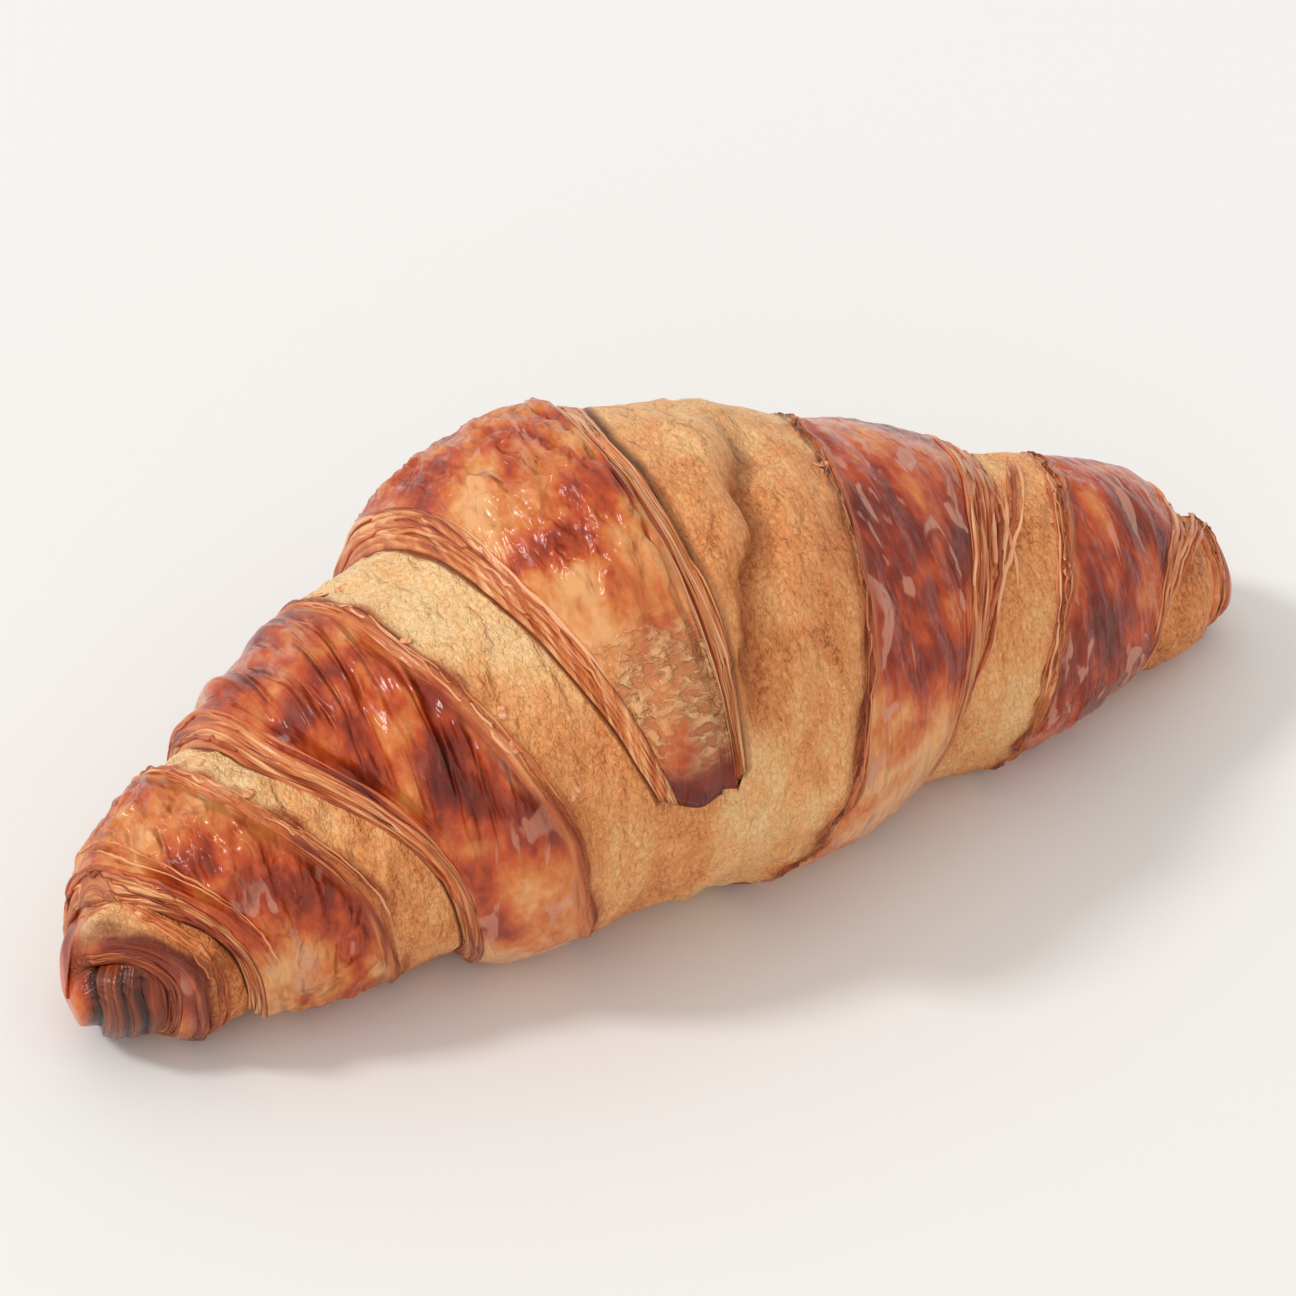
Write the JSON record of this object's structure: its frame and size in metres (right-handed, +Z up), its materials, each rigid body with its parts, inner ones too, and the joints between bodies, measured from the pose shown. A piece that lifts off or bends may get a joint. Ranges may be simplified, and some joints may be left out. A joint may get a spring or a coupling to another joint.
{
  "type": "croissant",
  "caption": "Whole baked butter croissant, nearly straight: a rolled triangle of layered dough with stepped, glazed wraps, a front tongue, pointed ends and a flat underside.",
  "frame": {"origin": "centre of the bounding box in plan, at the level of the flat underside", "axes": "+X along the roll towards its slimmer end, +Y to the back, away from the side where the tongue ends, +Z up"},
  "size_m": [0.162, 0.0651, 0.0598],
  "materials": {
    "baked_crust": "egg-washed, oven-browned crust, glossy brown on the outer bands and matte golden between them"
  },
  "bodies": {
    "root": {"croissant": "baked_crust"}
  },
  "joints": []
}
